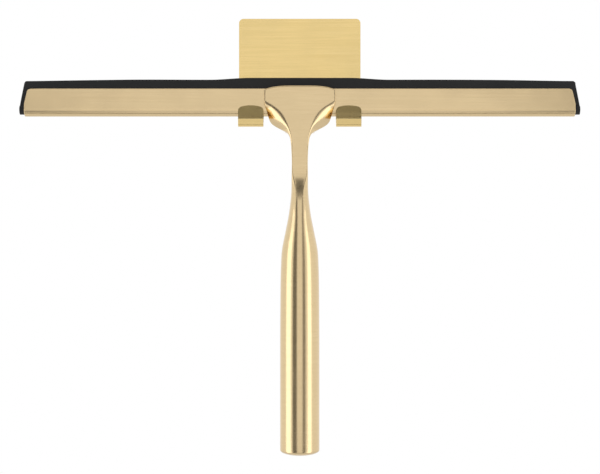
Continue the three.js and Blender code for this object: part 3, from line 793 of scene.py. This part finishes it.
def buildScrew(name, side):
    s = screwShape
    back = clampBack - s["gap"]
    tip = screwLow.y / mm - bladeY
    headStart = back - s["headDepth"]
    profile = [(0, tip), (s["shank"] - 0.35, tip), (s["shank"], tip + 0.35)]
    # The thread is a row of shallow grooves.
    pitch = 0.5
    y = tip + 0.5
    while y < headStart - 2.2:
        profile += [(s["shank"], y), (s["shank"] - 0.22, y + pitch * 0.45), (s["shank"], y + pitch * 0.9)]
        y += pitch
    profile += [(s["shank"], headStart), (s["head"], back - 0.2), (s["head"] - 0.05, back - 0.05),
                (s["head"] - 0.15, back), (0, back)]
    screw = newObject(name, turned(profile, 60), sharpAngle=30)
    hexagon = [(0, back - s["socketDepth"] - 0.3), (s["socket"], back - s["socketDepth"]),
               (s["socket"], back + 1), (0, back + 1)]
    socket = newObject("socketCutter", turned(hexagon, 6), smooth=False)
    screw.location = Vector((side * screwX, bladeY, bladeZ + screwZ)) * mm
    socket.location = screw.location
    bpy.context.view_layer.update()
    cut(screw, [socket])
    return screw


clamp = buildClamp()
finishPiece(clamp, handleMetal, "squeegee", "handle_metal", "clamp_plate")
for name, side in (("clampScrewLeft", -1), ("clampScrewRight", 1)):
    screw = buildScrew(name, side)
    finishPiece(screw, screwMetal, "squeegee", "screw_metal",
                "clamp_screw_left" if side < 0 else "clamp_screw_right")
print("clamp plate and screws built")

# Wall bracket.
# A flat blank is laid out along its length, then bent. The path is the side that faces the room.
bracketLow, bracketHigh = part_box("wall_bracket")
bracketShape = {
    "thickness": 1.5, "corner": 2.0, "tabWidth": 11.2, "plateFoot": -20.5,
    "rearRadius": 2.0, "frontRadius": 0.4, "bendY": -11.485, "armRise": 35, "toeLean": 17, "lipLean": 14,
    "crease": -23.4, "lipTop": -17.7, "lipCrown": 1.1, "lipCorner": 1.3, "edge": 0.18,
}
bendZ = bracketLow.z / mm + bracketShape["frontRadius"] + bracketShape["thickness"]


def bracketPath():
    # Points (y, z) down the plate's front, round the rear bend, along the arm, round the toe and up the lip.
    s = bracketShape
    front = bracketHigh.y / mm - s["thickness"]
    rise, toe, lean = s["armRise"] * degree, s["toeLean"] * degree, s["lipLean"] * degree
    armAngle, toeAngle = rise - math.pi / 2, toe - math.pi
    normal = (math.cos(armAngle), math.sin(armAngle))
    rearY = front - s["rearRadius"]
    reach = s["frontRadius"] - s["rearRadius"]
    along = (rearY - s["bendY"] - reach * normal[0]) / math.cos(rise)
    rearZ = bendZ + reach * normal[1] + along * math.sin(rise)

    def around(centreY, centreZ, radius, angle):
        return centreY + radius * math.cos(angle), centreZ + radius * math.sin(angle)

    def straight(start, end, count):
        return [(mix(start[0], end[0], t), mix(start[1], end[1], t)) for t in steps(0, 1, count)[1:]]

    points = [(front, z) for z in steps(bracketHigh.z / mm, rearZ, 40)]
    points += [around(rearY, rearZ, s["rearRadius"], a) for a in steps(0, armAngle, 10)[1:]]
    points += straight(points[-1], around(s["bendY"], bendZ, s["frontRadius"], armAngle), 10)
    points += [around(s["bendY"], bendZ, s["frontRadius"], a) for a in steps(armAngle, toeAngle, 16)[1:]]
    foot = points[-1]
    creaseZ = s["crease"] + s["thickness"] * math.tan((toe - lean) / 2)
    crease = (foot[0] - (creaseZ - foot[1]) * math.tan(toe), creaseZ)
    points += straight(foot, crease, 3)
    top = (crease[0] + (s["lipTop"] - creaseZ) * math.tan(lean), s["lipTop"])
    return points + straight(crease, top, 16)


def buildBracket():
    s = bracketShape
    path = bracketPath()
    lengths = [0.0]
    for a, b in zip(path, path[1:]):
        lengths.append(lengths[-1] + math.dist(a, b))
    total = lengths[-1]

    def bend(x, length):
        i = next((k for k in range(1, len(lengths)) if lengths[k] >= length - 1e-9), len(lengths) - 1)
        t = (length - lengths[i - 1]) / (lengths[i] - lengths[i - 1])
        return x, mix(path[i - 1][0], path[i][0], t), mix(path[i - 1][1], path[i][1], t)

    half = bracketHigh.x / mm
    inner = half - s["tabWidth"]
    plateEnd = bracketHigh.z / mm - s["plateFoot"]
    notchStart = plateEnd - 2.0

    def plateX(u, length):
        # The two top corners are rounded by drawing the outermost columns in.
        limit = half
        if length < s["corner"]:
            limit = half - s["corner"] + math.sqrt(max(s["corner"] ** 2 - (s["corner"] - length) ** 2, 0))
        return max(min(u, limit), -limit)

    def lipEnd(offset):
        # The tab's length at a place across it: crowned, with round corners.
        halfTab = s["tabWidth"] / 2
        t = abs(offset) / halfTab
        end = total - s["lipCrown"] * t**2.2
        over = abs(offset) - (halfTab - s["lipCorner"])
        if over > 0:
            end -= s["lipCorner"] - math.sqrt(max(s["lipCorner"] ** 2 - over**2, 0))
        return end

    bm = bmesh.new()
    tabColumns = [half - s["tabWidth"] / 2 + s["tabWidth"] / 2 * c for c in
                  (-1, -0.985, -0.95, -0.88, -0.78, -0.6, -0.4, -0.2, 0, 0.2, 0.4, 0.6, 0.78, 0.88, 0.95,
                   0.985, 1)]
    middleColumns = steps(-inner, inner, 30)
    columns = sorted({round(c, 5) for c in [-c for c in tabColumns] + middleColumns + tabColumns})
    rows = sorted({*[round(v, 5) for v in lengths if v < notchStart],
                   *[s["corner"] * (1 - math.cos(a)) for a in steps(0, math.pi / 2, 10)],
                   notchStart})
    grid = {}

    def vertex(key, x, length):
        if key not in grid:
            grid[key] = bm.verts.new(Vector(bend(x, length)) * mm)
        return grid[key]

    for i in range(len(rows) - 1):
        for j in range(len(columns) - 1):
            quad = [vertex((a, b), plateX(columns[b], rows[a]), rows[a])
                    for a, b in ((i, j), (i, j + 1), (i + 1, j + 1), (i + 1, j))]
            bm.faces.new(quad)
    foot = len(rows) - 1
    # Between the hooks the plate ends in a straight foot.
    for j in range(len(columns) - 1):
        if columns[j] < -inner - 1e-4 or columns[j + 1] > inner + 1e-4:
            continue
        top = [vertex((foot, b), columns[b], rows[foot]) for b in (j, j + 1)]
        flat = [bm.verts.new(Vector((columns[b], path[0][0], s["plateFoot"])) * mm)
                if ("foot", b) not in grid else grid[("foot", b)]
                for b in (j, j + 1)]
        for b, v in zip((j, j + 1), flat):
            grid[("foot", b)] = v
        bm.faces.new([top[0], top[1], flat[1], flat[0]])
    # Each hook goes on round the bends to its lip.
    after = [notchStart] + [v for v in lengths if v > notchStart + 0.05]
    straight = [v for v in after if v <= total - 4.2]
    for j in range(len(columns) - 1):
        middle = (columns[j] + columns[j + 1]) / 2
        if abs(middle) < inner:
            continue
        centre = math.copysign(half - s["tabWidth"] / 2, middle)
        previous = None
        stations = []
        for b in (j, j + 1):
            end = lipEnd(columns[b] - centre)
            stations.append(straight + [mix(straight[-1], end, t) for t in steps(0, 1, 16)[1:]])
        for k in range(len(stations[0])):
            row = []
            for side, b in enumerate((j, j + 1)):
                key = (foot, b) if k == 0 else ("tab", k, b, centre > 0)
                row.append(vertex(key, columns[b], stations[side][k]))
            if previous:
                bm.faces.new([previous[0], previous[1], row[1], row[0]])
            previous = row
    bracket = newObject("wallBracket", bm, sharpAngle=35)
    return bracket


def thicken(thing, thickness, edge):
    # The sheet gets its thickness away from the room, then small rounded edges.
    solid = thing.modifiers.new("sheet", "SOLIDIFY")
    solid.thickness = thickness * mm
    solid.offset = -1
    solid.use_even_offset = True
    settle(thing)
    thing.data.polygons.foreach_set("use_smooth", [True] * len(thing.data.polygons))
    thing.data.set_sharp_from_angle(angle=24 * degree)
    addBevel(thing, edge, 3, 50)


bracket = buildBracket()
facing = sum((p.normal.y * p.area for p in bracket.data.polygons if p.center.z > -0.01), 0.0)
if facing > 0:
    bracket.data.flip_normals()
thicken(bracket, bracketShape["thickness"], bracketShape["edge"])
finishPiece(bracket, bracketMetal, "bracket", "bracket_metal", "wall_bracket")
print("wall bracket built")

# Adhesive pad: the CAD solid, softened.
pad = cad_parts["adhesive_pad"]
pad.data.materials.clear()
pad.data.materials.append(foamTape)
addBevel(pad, 0.15, 2, 40)

# Floor, world and panels.
studio = {"world": 1.0, "floorDrop": 1.3, "floorSize": 8.0, "panelDistance": 1.35,
          "focus": (0.0, -0.011, -0.075)}


def plainMaterial(name, colour):
    material, tree, surface = blankMaterial(name)
    surface.inputs["Base Color"].default_value = (*colour, 1)
    surface.inputs["Roughness"].default_value = 0.9
    return material


# Plain grey panels round the object: bright softboxes at the sides, and darker flags beside, above and
# below the camera. Azimuth nought is towards the camera, and minus is to the left.
panels = [
    {"name": "softboxLeft", "azimuth": -70, "elevation": -20, "width": 0.8, "height": 1.6, "strength": 2.0},
    {"name": "softboxRight", "azimuth": 60, "elevation": -20, "width": 0.6, "height": 1.6, "strength": 2.0},
    {"name": "flagLeft", "azimuth": -30, "elevation": -10, "width": 0.6, "height": 2.0, "strength": 0.2},
    {"name": "flagRight", "azimuth": 25, "elevation": -10, "width": 0.4, "height": 2.0, "strength": 0.3},
    {"name": "flagLow", "azimuth": 0, "elevation": -75, "width": 1.6, "height": 0.7, "strength": 0.4},
    {"name": "flagTop", "azimuth": 0, "elevation": 45, "width": 1.2, "height": 0.7, "strength": 0.1},
]


def buildPanel(settings):
    # Only reflections see a panel. It stands flat and faces the object.
    bm = bmesh.new()
    across, up = settings["width"] / 2, settings["height"] / 2
    bm.faces.new([bm.verts.new((x * across, y * up, 0)) for x, y in ((-1, -1), (1, -1), (1, 1), (-1, 1))])
    thing = newObject(settings["name"], bm, smooth=False)
    azimuth, elevation = settings["azimuth"] * degree, settings["elevation"] * degree
    away = Vector((math.sin(azimuth) * math.cos(elevation), -math.cos(azimuth) * math.cos(elevation),
                   math.sin(elevation)))
    thing.location = Vector(studio["focus"]) + away * studio["panelDistance"]
    thing.rotation_euler = away.to_track_quat("Z", "Y").to_euler()
    material = bpy.data.materials.new(settings["name"])
    material.use_nodes = True
    tree = material.node_tree
    tree.nodes.clear()
    glow = node(tree, "ShaderNodeEmission")
    glow.inputs["Color"].default_value = (1, 1, 1, 1)
    glow.inputs["Strength"].default_value = settings["strength"]
    out = node(tree, "ShaderNodeOutputMaterial")
    tree.links.new(glow.outputs[0], out.inputs["Surface"])
    thing.data.materials.append(material)
    thing.visible_camera = False
    thing.visible_diffuse = False
    thing.visible_shadow = False


def buildStudio():
    bm = bmesh.new()
    size = studio["floorSize"] / 2
    bm.faces.new([bm.verts.new((x * size, y * size, 0)) for x, y in ((-1, -1), (1, -1), (1, 1), (-1, 1))])
    floor = newObject("floor", bm, smooth=False)
    floor.location.z = studio["focus"][2] - studio["floorDrop"]
    floor.data.materials.append(plainMaterial("paleFloor", (0.86, 0.86, 0.86)))
    world = bpy.data.worlds.new("studioWorld")
    bpy.context.scene.world = world
    world.use_nodes = True
    world.node_tree.nodes["Background"].inputs["Color"].default_value = (1, 1, 1, 1)
    world.node_tree.nodes["Background"].inputs["Strength"].default_value = studio["world"]
    for settings in panels:
        buildPanel(settings)


def buildCamera():
    data = bpy.data.cameras.new("camera")
    camera = bpy.data.objects.new("camera", data)
    bpy.context.collection.objects.link(camera)
    data.sensor_width = 36
    data.lens = 88.2
    camera.location = Vector((0.0001, -0.66475, -0.0758))
    camera.rotation_euler = (math.pi / 2, 0, 0)
    data.clip_start, data.clip_end = 0.01, 50
    bpy.context.scene.camera = camera


buildStudio()
buildCamera()
bpy.context.scene.view_settings.view_transform = "Standard"
bpy.context.scene.view_settings.look = "None"
print("studio and camera ready")
